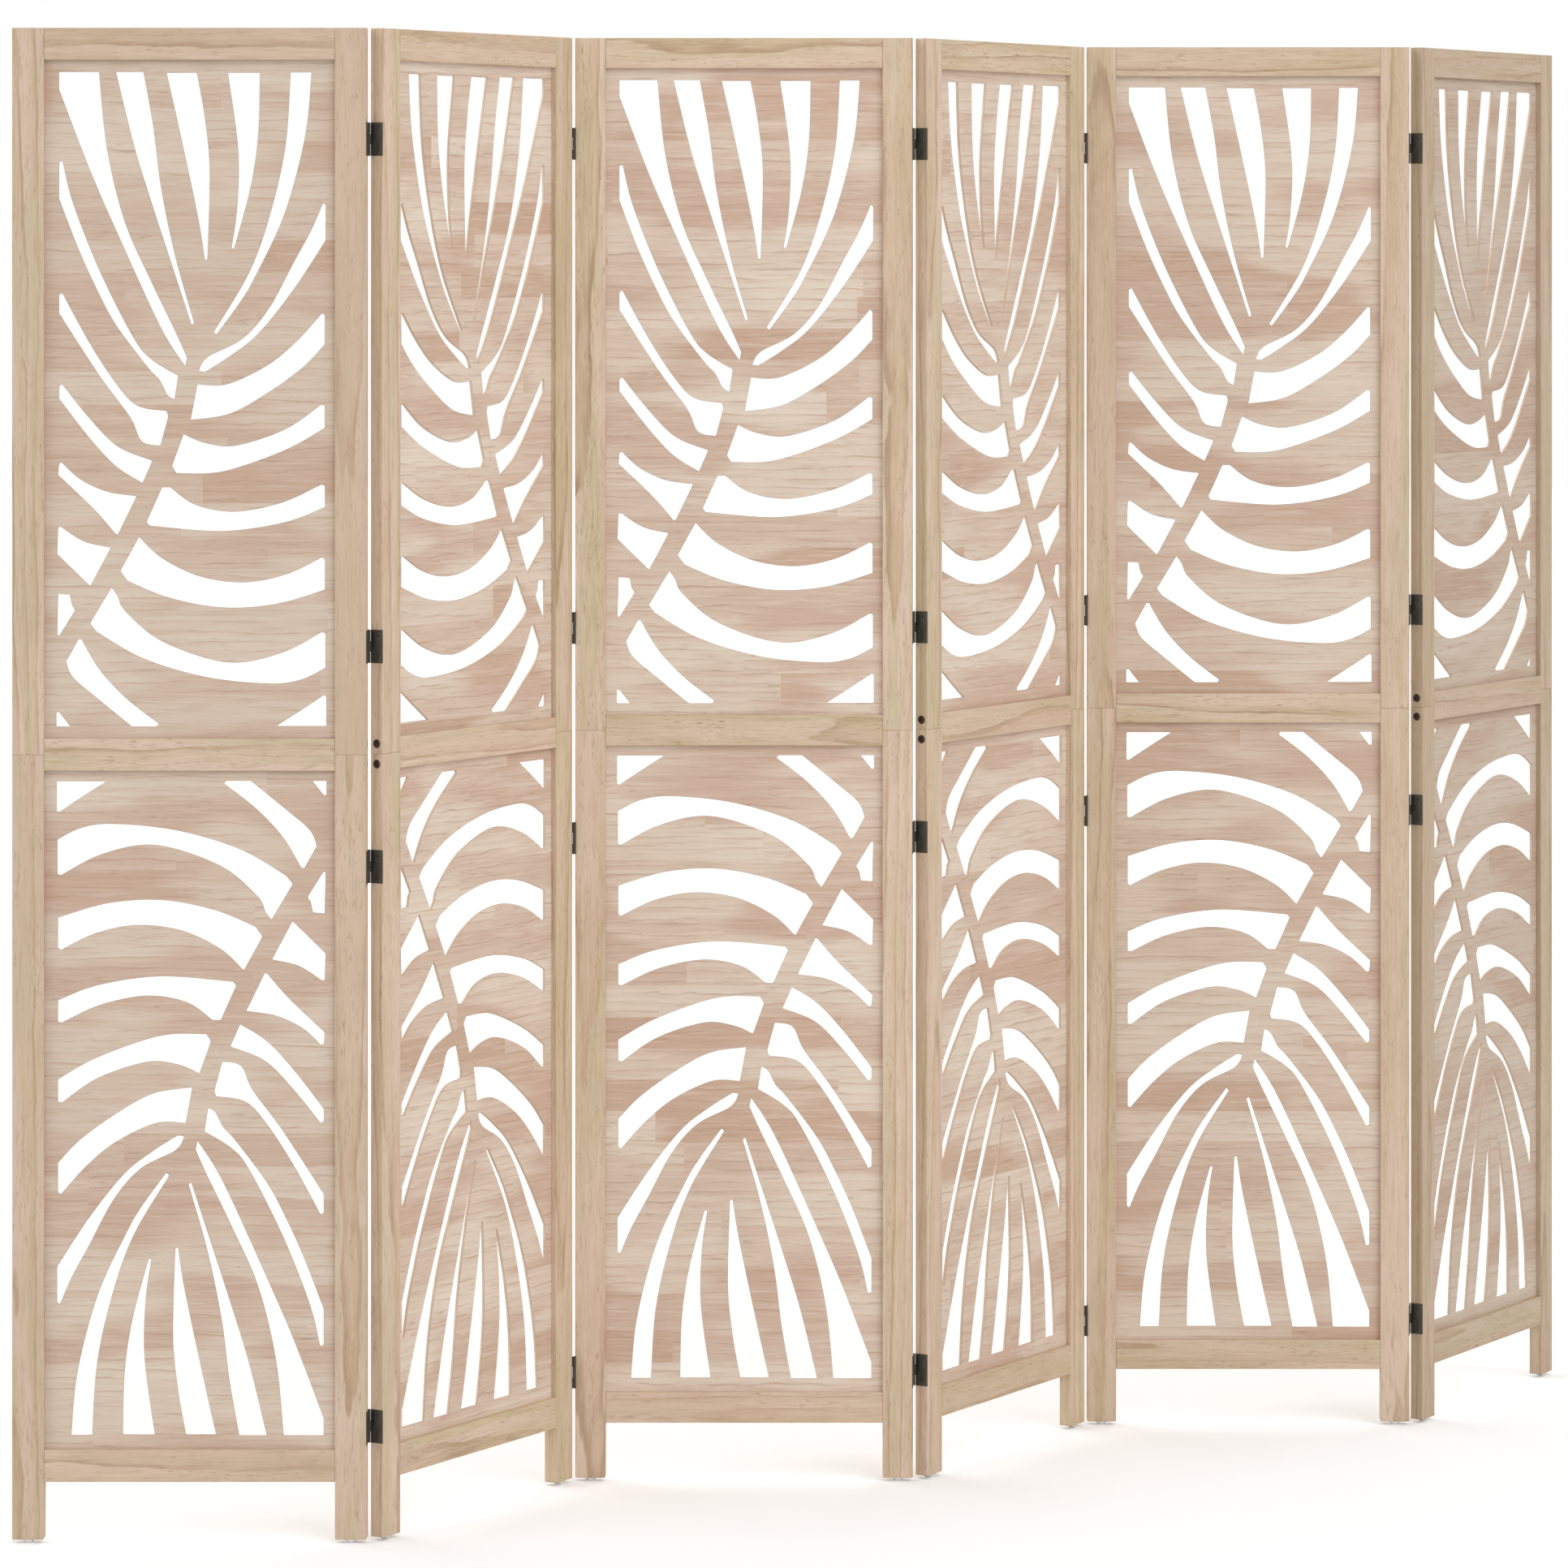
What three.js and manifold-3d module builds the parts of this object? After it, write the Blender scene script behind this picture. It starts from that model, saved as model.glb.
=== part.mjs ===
// Folding screen: six hinged leaves, each a light wooden frame that holds two thin
// boards cut through with palm fronds. Millimetres, +Z up, X along the first leaf,
// Y to the back. The screen stands in its opened zigzag, the first leaf on the left.
import * as THREE from 'three';
import { mergeVertices } from 'three/addons/utils/BufferGeometryUtils.js';
import ManifoldModule from 'manifold-3d';

const wasm = await ManifoldModule();
wasm.setup();

// ---------------------------------------------------------------- dimensions

const leaves = 6;
const openAngle = 60;         // turn between two neighbouring leaves, degrees

const leafWidth = 399;
const leafHeight = 1700;      // wood only, the glides come under it
const thickness = 16;         // of every frame member
const stileWidth = 36;
const railHeight = 36;
const legHeight = 65;         // stile that runs on below the bottom rail

const boardThickness = 3;
const grooveDepth = 4;        // groove round each opening that holds a board
const fit = 0.2;              // gap between two pieces of wood that meet
const facet = { turn: 28, length: 230 }; // of a cut-out's curve, degrees and mm

const hinge = {
  endInset: 125,              // hinge centre from the top of a leaf, and from its foot
  seamInset: { below: 127, above: 121 }, // hinge centres from the stile's seam
  height: 37.5,
  plate: 1.2,                 // thickness of a hinge plate
  proud: 0.2,                 // plate face above the stile's edge
  knuckleRadius: 1.9,
  pinRadius: 0.9,
  running: 0.08,              // pin to bore
  axial: 0.3,                 // between two knuckles
  gap: 1.6,                   // between two stile edges when the leaves lie in one plane
  clear: 0.1,                 // between a knuckle and the face of the wood
  pinSides: 8,
  knuckleFacets: 5,
};

const bolt = { fromSeam: 11.5, headRadius: 5, sunk: 1.2, sides: 8 };
const glide = { topRadius: 7.2, flatRadius: 4.4, height: 3.8, sides: 8 };

// sizes that follow from the ones above
const openingWidth = leafWidth - 2 * stileWidth;
const openingHeight = (leafHeight - legHeight - 3 * railHeight) / 2;
const railZ = {
  bottom: legHeight,
  middle: legHeight + railHeight + openingHeight,
  top: leafHeight - railHeight,
};
const seamZ = railZ.middle + railHeight / 2;
const midY = thickness / 2;
const pinX = hinge.gap / 2;
const pinOffset = hinge.knuckleRadius + hinge.clear;
const tongue = { length: grooveDepth - fit, thickness: boardThickness };
const grooveWidth = boardThickness + 2 * fit;
const radians = THREE.MathUtils.degToRad;

// ------------------------------------------------------- the fronds' cut-outs

// Each cut-out is drawn on an opening of this size, from its upper left corner,
// x to the right and y down. An outline is a list of stretches. A stretch starts
// where the last one ended and runs through its own points: straight for one
// point, a smooth curve for more. The last point joins the first.
const drawn = { width: 327, height: 763.5 };

const cutouts = {
  // five between the leaflets at the tip of the frond, open to the top
  tip1: [[[16, 13.5]], [[61, 13.5]], [[70, 100], [90, 182], [121, 252], [148, 308], [160, 335]],
    [[158, 345]], [[130, 300], [84, 200], [50, 122], [16, 33]]],
  tip2: [[[80, 13.5]], [[111, 13.5]], [[122, 75], [131, 145], [147, 222], [168, 296]], [[165, 298]],
    [[150, 252], [120, 160], [100, 95], [80, 13.5]]],
  tip3: [[[137, 14.5]], [[171, 14.5]], [[180, 65], [185.5, 125], [183, 224]], [[180, 225]],
    [[172, 175], [150, 72], [137, 14.5]]],
  tip4: [[[206, 14.5]], [[242, 14.5]], [[240, 85], [231, 145], [213, 212]], [[210, 212]],
    [[216.5, 165], [217.5, 100], [206, 14.5]]],
  tip5: [[[276.5, 14]], [[300, 14]], [[293, 85], [270, 172], [237, 243], [220, 272], [193, 309]],
    [[190, 306]], [[230, 239], [254, 172], [271, 95], [276.5, 14]]],
  // down the left side, from the tip of the frond to its stalk
  left1: [[[16, 115]], [[20, 114]], [[32, 162], [62, 238], [100, 313], [120, 337], [150, 355.5]],
    [[146, 382]], [[138, 377], [129, 360], [116, 346], [80, 298], [58, 257], [38, 213], [16, 156]]],
  left2: [[[16, 264]], [[19.5, 262]], [[50, 318], [80, 364], [104, 389], [137, 395]], [[139, 401]],
    [[130, 434]], [[109, 429], [96, 402], [62, 356], [16, 285]]],
  left3: [[[16, 367]], [[19.5, 365]], [[50, 403], [82, 435], [121, 451]], [[110, 476]],
    [[80, 457], [50, 425], [16, 381]]],
  left4: [[[16, 454]], [[19, 453]], [[40, 472], [70, 486], [103, 491]], [[82, 534]], [[79.5, 533]],
    [[55, 505], [15, 467]]],
  left5: [[[15, 526]], [[18, 525.5]], [[44, 542], [74, 549]], [[51, 592]], [[14, 556]]],
  left6: [[[15, 601]], [[28, 602]], [[30.5, 614]], [[34, 619]], [[16, 648]], [[14, 647]]],
  left7: [[[13, 734]], [[16, 734]], [[28.5, 750]], [[13, 750]]],
  // beside the stalk, down to the bottom edge
  stalk: [[[38, 652]], [[41, 652]], [[62, 687], [92, 719], [128, 747]], [[126, 750]], [[98, 750]],
    [[60, 719], [32, 695], [24, 677]]],
  // down the right side
  right1: [[[313, 161]], [[316, 163]], [[316, 203]], [[280, 258], [240, 308], [207, 334], [180, 351]],
    [[173, 350]], [[183, 334.5], [222, 314], [252, 280], [280, 228], [300, 191], [313, 161]]],
  right2: [[[312, 285]], [[315, 287]], [[315, 320]], [[290, 346], [250, 375], [208, 398], [164, 405]],
    [[171.5, 365]], [[205, 365], [250, 344], [283, 317], [312, 285]]],
  right3: [[[311, 388]], [[315, 389]], [[315, 414]], [[270, 439], [200, 463], [148, 465]], [[143, 457]],
    [[156, 421]], [[180, 431], [215, 434], [270, 416], [311, 388]]],
  right4: [[[311, 478]], [[315, 479]], [[315, 503]], [[270, 520], [200, 530], [118, 524]],
    [[114.5, 520]], [[132, 481]], [[141, 481]], [[170, 501], [215, 508.5], [268, 498], [311, 478]]],
  right5: [[[312, 560]], [[315, 562]], [[315, 596]], [[260, 612], [200, 616], [140, 605], [93, 586]],
    [[85, 575]], [[106, 537]], [[132, 561], [175, 581.5], [225, 588], [272, 579], [312, 560]]],
  right6: [[[312, 644]], [[315.5, 645]], [[315.5, 684]], [[287, 697.5], [250, 701.5], [180, 694],
    [110, 673], [58, 643]], [[51, 634]], [[75, 594]],
    [[81.5, 603], [91, 621], [133, 655], [205, 678], [265, 668], [312, 644]]],
  right7: [[[314, 715]], [[316.5, 716]], [[316.5, 749.5]], [[261, 749.5]], [[290, 731], [314, 715]]],
};

// The lower fronds sit this far off a true half turn, to the right and up.
const turnedShift = { x: 2.8, y: 1.6 };

// A curve's corners: facets of like effort, where both turning and length count.
function facetEnds(curve) {
  const fine = curve.getSpacedPoints(60);
  const effort = [0];
  for (let i = 1; i < fine.length; i += 1) {
    const step = fine[i].clone().sub(fine[i - 1]);
    const before = fine[Math.max(i - 1, 1)].clone().sub(fine[Math.max(i - 2, 0)]);
    effort.push(effort[i - 1] + step.angleTo(before) / radians(facet.turn) + step.length() / facet.length);
  }
  const count = Math.max(1, Math.round(effort.at(-1)));
  const ends = [];
  for (let k = 1; k <= count; k += 1) {
    ends.push(fine[effort.findIndex((e) => e >= (effort.at(-1) * k) / count - 1e-9)]);
  }
  return ends;
}

function outlinePoints(stretches) {
  const points = [new THREE.Vector2(...stretches[0][0])];
  for (const stretch of stretches.slice(1)) {
    const through = stretch.map(([x, y]) => new THREE.Vector2(x, y));
    if (stretch.length === 1) points.push(through[0]);
    else points.push(...facetEnds(new THREE.SplineCurve([points.at(-1), ...through])));
  }
  if (points.at(-1).distanceTo(points[0]) < 0.5) points.pop();
  return points;
}

// ------------------------------------------------------------ solid helpers

function solid(geometry) {
  for (const name of Object.keys(geometry.attributes)) {
    if (name !== 'position') geometry.deleteAttribute(name);
  }
  const merged = mergeVertices(geometry, 1e-4);
  const corners = Array.from(merged.index.array);
  const triangles = [];
  for (let i = 0; i < corners.length; i += 3) {
    const [a, b, c] = corners.slice(i, i + 3);
    if (a !== b && b !== c && c !== a) triangles.push(a, b, c);
  }
  const made = new wasm.Manifold(new wasm.Mesh({
    numProp: 3,
    vertProperties: new Float32Array(merged.attributes.position.array),
    triVerts: new Uint32Array(triangles),
  }));
  if (made.volume() <= 0) throw new Error('a solid is inside out');
  return made;
}

function box(x, y, z) {
  const size = [x, y, z].map(([low, high]) => high - low);
  const centre = [x, y, z].map(([low, high]) => (low + high) / 2);
  return solid(new THREE.BoxGeometry(...size).translate(...centre));
}

// A cylinder between two ends along Z, or along X for `along` = 'x'.
function rod(radius, sides, [a, b], [low, high], along = 'z') {
  const geometry = new THREE.CylinderGeometry(radius, radius, high - low, sides);
  if (along === 'z') geometry.rotateX(Math.PI / 2).translate(a, b, (low + high) / 2);
  else geometry.rotateZ(Math.PI / 2).translate((low + high) / 2, a, b);
  return solid(geometry);
}

function mesh(name, made, look) {
  const { vertProperties, triVerts } = made.getMesh();
  const geometry = new THREE.BufferGeometry();
  geometry.setAttribute('position', new THREE.BufferAttribute(new Float32Array(vertProperties), 3));
  geometry.setIndex(new THREE.BufferAttribute(new Uint32Array(triVerts), 1));
  geometry.computeVertexNormals();
  const piece = new THREE.Mesh(geometry, new THREE.MeshStandardMaterial({ flatShading: true, ...look }));
  piece.name = name;
  return piece;
}

const looks = {
  stile: { color: 0xcbb395, roughness: 0.62, metalness: 0 },
  rail: { color: 0xc7af92, roughness: 0.62, metalness: 0 },
  board: { color: 0xd3bfaa, roughness: 0.66, metalness: 0 },
  metal: { color: 0x4b4434, roughness: 0.45, metalness: 0.9 },
};

// ------------------------------------------------------------------ hinges

// Hinge centres, from the foot of the wood up.
const hingeCentres = [
  hinge.endInset, seamZ - hinge.seamInset.below, seamZ + hinge.seamInset.above, leafHeight - hinge.endInset,
];
const topHinge = hingeCentres.length - 1;

// The side of a leaf on which a hinge sits: its stile edge and the face its pin is on.
function hingeSide(edge, face) {
  const out = edge === 'right' ? 1 : -1;
  return {
    out,
    edgeX: edge === 'right' ? leafWidth : 0,
    faceY: face === 'back' ? thickness : 0,
    away: face === 'back' ? 1 : -1,
    pin: [edge === 'right' ? leafWidth + pinX : -pinX,
      face === 'back' ? thickness + pinOffset : -pinOffset],
  };
}

const ordered = (a, b) => [Math.min(a, b), Math.max(a, b)];
const span = (centre) => [centre - hinge.height / 2, centre + hinge.height / 2];

// Three knuckles fill a hinge: the outer two belong to the pin's leaf.
function knuckleSpans(centre) {
  const [low, high] = span(centre);
  const each = (hinge.height - 2 * hinge.axial) / 3;
  return [[low, low + each], [low + each + hinge.axial, high - each - hinge.axial], [high - each, high]];
}

// One knuckle: three quarters of a round barrel, drawn in to meet its plate.
function knuckle({ out, away, edgeX, faceY, pin }, [low, high]) {
  const plateFaces = [hinge.proud - hinge.plate, hinge.proud];
  const points = plateFaces.map((x) => [edgeX + out * x, faceY - away * 0.5]);
  for (let i = 0; i <= hinge.knuckleFacets; i += 1) {
    const turn = radians(-90 + (270 * i) / hinge.knuckleFacets);
    points.push([pin[0] + out * hinge.knuckleRadius * Math.cos(turn),
      pin[1] + away * hinge.knuckleRadius * Math.sin(turn)]);
  }
  const outline = new THREE.Shape(points.map(([x, y]) => new THREE.Vector2(x, y)));
  return solid(new THREE.ExtrudeGeometry(outline, { depth: high - low, bevelEnabled: false }).translate(0, 0, low));
}

// A hinge leaf: plate on the stile's edge and its knuckles. The carrying leaf has
// the outer knuckles, the other one the middle knuckle.
function hingeLeaf(side, centre, carriesPin) {
  let leaf = box(ordered(side.edgeX + side.out * hinge.proud,
    side.edgeX + side.out * (hinge.proud - hinge.plate)), [0, thickness], span(centre));
  const [low, middle, high] = knuckleSpans(centre);
  for (const heights of carriesPin ? [low, high] : [middle]) leaf = leaf.add(knuckle(side, heights));
  return leaf;
}

// The top hinge in full: the pin stands in its own leaf and turns in the bored knuckle.
function pinLeaf(side, centre) {
  return hingeLeaf(side, centre, true)
    .add(rod(hinge.pinRadius, hinge.pinSides, side.pin, span(centre)));
}

function pinBore(side, centre) {
  const radius = (hinge.pinRadius + hinge.running) / Math.cos(Math.PI / hinge.pinSides);
  const [low, high] = span(centre);
  return rod(radius, hinge.pinSides, side.pin, [low - 1, high + 1]);
}

// ---------------------------------------------------------- frame members

// The sunk heads of the bolts that draw the two stile halves to the middle rail.
function boltHead(edge, half) {
  const out = edge === 'right' ? 1 : -1;
  const edgeX = edge === 'right' ? leafWidth : 0;
  const z = seamZ + (half === 'upper' ? bolt.fromSeam : -bolt.fromSeam);
  return rod(bolt.headRadius, bolt.sides, [midY, z], ordered(edgeX + out, edgeX - out * bolt.sunk), 'x');
}

// Half a stile, from the seam up or from the foot to the seam, with the groove
// for the boards on its inner edge and the hinges and a bolt head on its outer one.
function stileHalf(edge, half, hingeAt) {
  const x = edge === 'left' ? [0, stileWidth] : [leafWidth - stileWidth, leafWidth];
  const z = half === 'upper' ? [seamZ + fit / 2, leafHeight] : [0, seamZ - fit / 2];
  const grooveX = edge === 'left' ? [stileWidth - grooveDepth, stileWidth + 1]
    : [leafWidth - stileWidth - 1, leafWidth - stileWidth + grooveDepth];
  const grooveZ = half === 'upper' ? [seamZ - 1, leafHeight + 1] : [railZ.bottom - fit, seamZ + 1];
  const grooveY = [midY - grooveWidth / 2, midY + grooveWidth / 2];
  let stile = box(x, [0, thickness], z)
    .subtract(box(grooveX, grooveY, grooveZ))
    .subtract(boltHead(edge, half));
  if (hingeAt) {
    const side = hingeSide(edge, hingeAt.face);
    hingeCentres.forEach((centre, i) => {
      if (centre < z[0] || centre > z[1]) return;
      if (i === topHinge && hingeAt.carriesPin) {
        const [low, high] = span(centre);
        const bed = ordered(side.edgeX + side.out, side.edgeX + side.out * (hinge.proud - hinge.plate - fit));
        stile = stile.subtract(box(bed, [-1, thickness + 1], [low - fit, high + fit]));
      } else if (i === topHinge) {
        stile = stile.add(hingeLeaf(side, centre, false)).subtract(pinBore(side, centre));
      } else {
        stile = stile.add(hingeLeaf(side, centre, hingeAt.carriesPin));
      }
    });
  }
  if (half === 'lower') stile = stile.add(glideUnder((x[0] + x[1]) / 2));
  return stile;
}

// A nailed-on plastic glide: a low cone with a flat foot.
function glideUnder(x) {
  const { topRadius, flatRadius, height, sides } = glide;
  const profile = [[0, -height], [flatRadius, -height], [topRadius, 0], [topRadius, 1], [0, 1]];
  const turned = new THREE.LatheGeometry(profile.map(([r, z]) => new THREE.Vector2(r, z)), sides);
  return solid(turned.rotateX(Math.PI / 2).translate(x, midY, 0));
}

// A rail: a tongue at each end sits in the stiles' grooves, and the edges that
// meet a board are grooved through.
function rail(place) {
  const low = railZ[place];
  const high = low + railHeight;
  const shoulder = stileWidth + fit;
  const tip = stileWidth - tongue.length;
  let made = box([shoulder, leafWidth - shoulder], [0, thickness], [low, high])
    .add(box([tip, leafWidth - tip],
      [midY - tongue.thickness / 2, midY + tongue.thickness / 2], [low, high]));
  const across = [0, leafWidth];
  const grooveY = [midY - grooveWidth / 2, midY + grooveWidth / 2];
  if (place !== 'bottom') made = made.subtract(box(across, grooveY, [low - 1, low + grooveDepth]));
  if (place !== 'top') made = made.subtract(box(across, grooveY, [high - grooveDepth, high + 1]));
  return made;
}

// A flat sheet standing in the leaf, with an outline given in X and Z.
function sheet(points, [front, back]) {
  const cut = new THREE.ExtrudeGeometry(new THREE.Shape(points), { depth: back - front, bevelEnabled: false });
  return solid(cut.rotateX(Math.PI / 2).translate(0, back, 0));
}

// A board with its palm frond. The lower one is the same board turned half round,
// and every second leaf has it the other way out.
function board(place, flipped) {
  const turned = place === 'lower';
  const mirrored = turned !== flipped;
  const bottom = (turned ? railZ.bottom : railZ.middle) + railHeight;
  const onBoard = (point) => {
    const across = (turned ? point.x - turnedShift.x : point.x) / drawn.width;
    const down = (turned ? point.y + turnedShift.y : point.y) / drawn.height;
    return new THREE.Vector2(stileWidth + openingWidth * (mirrored ? 1 - across : across),
      bottom + openingHeight * (turned ? down : 1 - down));
  };
  const border = grooveDepth - fit;
  const y = [midY - boardThickness / 2, midY + boardThickness / 2];
  let made = box([stileWidth - border, leafWidth - stileWidth + border], y,
    [bottom - border, bottom + openingHeight + border]);
  for (const cutout of Object.values(cutouts)) {
    made = made.subtract(sheet(outlinePoints(cutout).map(onBoard), [y[0] - 1, y[1] + 1]));
  }
  return made;
}

// -------------------------------------------------------------- one leaf

// Joint n is between leaf n and leaf n + 1. Odd joints have their pins at the back.
const pinFace = (joint) => (joint % 2 ? 'back' : 'front');

function leaf(number) {
  const group = new THREE.Group();
  const named = (piece) => `panel_${number}_${piece}`;
  const hingeAt = {
    left: number > 1 && { face: pinFace(number - 1), carriesPin: false },
    right: number < leaves && { face: pinFace(number), carriesPin: true },
  };
  for (const edge of ['left', 'right']) {
    for (const half of ['upper', 'lower']) {
      group.add(mesh(named(`stile_${edge}_${half}`), stileHalf(edge, half, hingeAt[edge]), looks.stile));
    }
  }
  for (const place of ['top', 'middle', 'bottom']) {
    group.add(mesh(named(`rail_${place}`), rail(place), looks.rail));
  }
  for (const place of ['upper', 'lower']) {
    group.add(mesh(named(`palm_board_${place}`), board(place, number % 2 === 0), looks.board));
  }
  if (hingeAt.right) {
    const side = hingeSide('right', hingeAt.right.face);
    group.add(mesh(`hinge_${number}_top_pin_leaf`, pinLeaf(side, hingeCentres[topHinge]), looks.metal));
  }
  return group;
}

// ------------------------------------------------------------ the screen

// Each leaf hangs on the pins of the one before it.
const screen = new THREE.Group();
const pins = [];
const first = leaf(1);
screen.add(first);
let last = first;
for (let number = 2; number <= leaves; number += 1) {
  const face = pinFace(number - 1);
  const [x, y] = hingeSide('right', face).pin;
  const pin = new THREE.Group();
  pin.position.set(x, y, 0);
  pin.rotation.z = radians(face === 'back' ? openAngle : -openAngle);
  const next = leaf(number);
  next.position.set(pinX, -y, 0);
  pin.add(next);
  last.add(pin);
  pins.push(pin);
  last = next;
}

// The origin is under the middle of the screen, on the floor.
screen.updateMatrixWorld(true);
const bounds = new THREE.Box3().setFromObject(screen);
const middle = bounds.getCenter(new THREE.Vector3());
first.position.set(-middle.x, -middle.y, -bounds.min.z);
screen.updateMatrixWorld(true);

const size = bounds.getSize(new THREE.Vector3());
console.log('size, mm:', size.toArray().map((v) => v.toFixed(1)).join(' x '));
console.log('first leaf, left front foot, mm:', first.position.toArray().map((v) => v.toFixed(3)).join(', '));
pins.forEach((pin, i) => {
  const at = pin.getWorldPosition(new THREE.Vector3());
  console.log(`pin axis ${i + 1}, mm:`, at.toArray().map((v) => v.toFixed(3)).join(', '));
});
let triangles = 0;
screen.traverse((node) => { if (node.isMesh) triangles += node.geometry.index.count / 3; });
console.log('triangles:', triangles);

export default screen;
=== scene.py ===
# %% [markdown]
# # A six-panel folding screen with palm-frond boards
#
# The real screen is six light frames of planed wood. Each frame holds two thin boards, one over
# the other, and each board is cut through with a palm frond. Small dark hinges join the frames,
# and every leg stands on a nailed-on plastic glide.
#
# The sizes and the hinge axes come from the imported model. This script makes finer pieces round
# the same sizes: eased edges, smooth fretwork, rolled hinge knuckles, screws and real wood.

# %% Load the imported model
import math
import random

import bmesh
import bpy
import numpy as np
from mathutils import Matrix, Vector


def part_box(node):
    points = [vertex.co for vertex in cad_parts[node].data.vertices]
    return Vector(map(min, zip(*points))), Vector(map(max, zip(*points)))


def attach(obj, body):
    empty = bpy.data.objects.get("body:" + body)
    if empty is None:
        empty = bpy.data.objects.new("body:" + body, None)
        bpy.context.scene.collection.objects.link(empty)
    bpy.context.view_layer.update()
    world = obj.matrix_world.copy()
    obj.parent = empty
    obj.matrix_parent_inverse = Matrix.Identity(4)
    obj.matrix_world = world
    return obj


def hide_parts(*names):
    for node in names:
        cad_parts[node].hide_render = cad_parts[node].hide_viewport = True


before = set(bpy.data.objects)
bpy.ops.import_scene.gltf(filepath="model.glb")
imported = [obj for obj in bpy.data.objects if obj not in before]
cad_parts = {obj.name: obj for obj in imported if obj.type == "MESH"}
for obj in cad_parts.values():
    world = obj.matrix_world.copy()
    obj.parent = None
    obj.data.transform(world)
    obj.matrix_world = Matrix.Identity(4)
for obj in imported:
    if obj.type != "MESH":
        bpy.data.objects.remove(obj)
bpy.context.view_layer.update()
MM = 0.001

# %% [markdown]
# ## Camera
#
# The photograph looks straight ahead with a long lens: the uprights are parallel, and every edge
# that runs straight back points at one spot, high in the picture. A tilted camera would make the
# uprights lean, so this one stays level and its lens is shifted, as on an architect's camera.

# %% Camera
PHOTO_SIDE = 1932                      # pixels, the picture is square
FOCAL = 7812                           # focal length in those pixels
VANISHING_X, HORIZON_Y = 1034, 296.8   # the spot that the receding edges point at
SENSOR = 36

camera_data = bpy.data.cameras.new("level_camera")
camera_data.sensor_width = SENSOR
camera_data.lens = SENSOR * FOCAL / PHOTO_SIDE
camera_data.shift_x = (PHOTO_SIDE / 2 - VANISHING_X) / PHOTO_SIDE
camera_data.shift_y = (HORIZON_Y - PHOTO_SIDE / 2) / PHOTO_SIDE
camera_data.clip_end = 200
camera = bpy.data.objects.new("level_camera", camera_data)
camera.location = (0.0041, -7.6665, 1.4642)
camera.rotation_euler = (math.radians(90), 0, 0)
bpy.context.scene.collection.objects.link(camera)
bpy.context.scene.camera = camera
print("lens, mm:", round(camera_data.lens, 1))

# %% [markdown]
# ## Sizes
#
# These are the sizes that the frames were designed with, in millimetres. A piece is made lying in
# its own leaf's corner: X along the leaf, Y through its thickness, Z up from the foot of the wood.

# %% Sizes of a leaf
LEAVES = 6
OPEN_ANGLE = 60                        # degrees from one leaf to the next
LEAF_WIDTH, LEAF_HEIGHT, THICKNESS = 399, 1700, 16
STILE_WIDTH, RAIL_HEIGHT, LEG_HEIGHT = 36, 36, 65
BOARD_THICKNESS, GROOVE_DEPTH = 3, 4
FIT = 0.2                              # gap between two pieces of wood that meet
GLIDE_HEIGHT = 3.8

OPENING_WIDTH = LEAF_WIDTH - 2 * STILE_WIDTH
OPENING_HEIGHT = (LEAF_HEIGHT - LEG_HEIGHT - 3 * RAIL_HEIGHT) / 2
RAIL_Z = {
    "bottom": LEG_HEIGHT,
    "middle": LEG_HEIGHT + RAIL_HEIGHT + OPENING_HEIGHT,
    "top": LEAF_HEIGHT - RAIL_HEIGHT,
}
SEAM_Z = RAIL_Z["middle"] + RAIL_HEIGHT / 2
MID_Y = THICKNESS / 2
BOARD_Y = (MID_Y - BOARD_THICKNESS / 2, MID_Y + BOARD_THICKNESS / 2)
print("opening, mm:", OPENING_WIDTH, "x", OPENING_HEIGHT, " seam at", SEAM_Z)

# %% [markdown]
# ## Where the leaves stand
#
# Each leaf hangs on the pins of the one before it, and the pins are by turns behind and in front.
# One matrix for each leaf says where its corner is, and the last pin's place is printed.

# %% Leaf matrices
HINGE_GAP, KNUCKLE_RADIUS, KNUCKLE_CLEAR = 1.6, 1.9, 0.1
PIN_X = HINGE_GAP / 2
PIN_OFF = KNUCKLE_RADIUS + KNUCKLE_CLEAR   # from the face of the wood to the pin's axis
PIN_Y = {"back": THICKNESS + PIN_OFF, "front": -PIN_OFF}


def pin_face(joint):
    return "back" if joint % 2 else "front"


def shift(x, y, z):
    return Matrix.Translation(Vector((x, y, z)) * MM)


def turn(degrees, axis):
    return Matrix.Rotation(math.radians(degrees), 4, axis)


first_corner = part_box("panel_1_stile_left_lower")[0] + Vector((0, 0, GLIDE_HEIGHT * MM))
leaf_matrix = {1: Matrix.Translation(first_corner)}
for leaf in range(2, LEAVES + 1):
    face = pin_face(leaf - 1)
    open_turn = turn(OPEN_ANGLE if face == "back" else -OPEN_ANGLE, "Z")
    to_pin = leaf_matrix[leaf - 1] @ shift(LEAF_WIDTH + PIN_X, PIN_Y[face], 0)
    leaf_matrix[leaf] = to_pin @ open_turn @ shift(PIN_X, -PIN_Y[face], 0)
print("last pin, mm:", [round(v / MM, 2) for v in to_pin.translation[:2]])

# %% [markdown]
# ## Shader helpers
#
# Wood needs a few layers of stretched noise, mixed. A small class keeps each layer to one line: one
# method adds a node and sets or links its inputs, and the others are the few kinds used most.

# %% Shader helpers
def srgb(red, green, blue):
    """A colour as a picture editor writes it, turned into the light values that shaders use."""
    linear = [c / 12.92 if c <= 0.04045 else ((c + 0.055) / 1.055) ** 2.4
              for c in (red / 255, green / 255, blue / 255)]
    return (*linear, 1)


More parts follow.
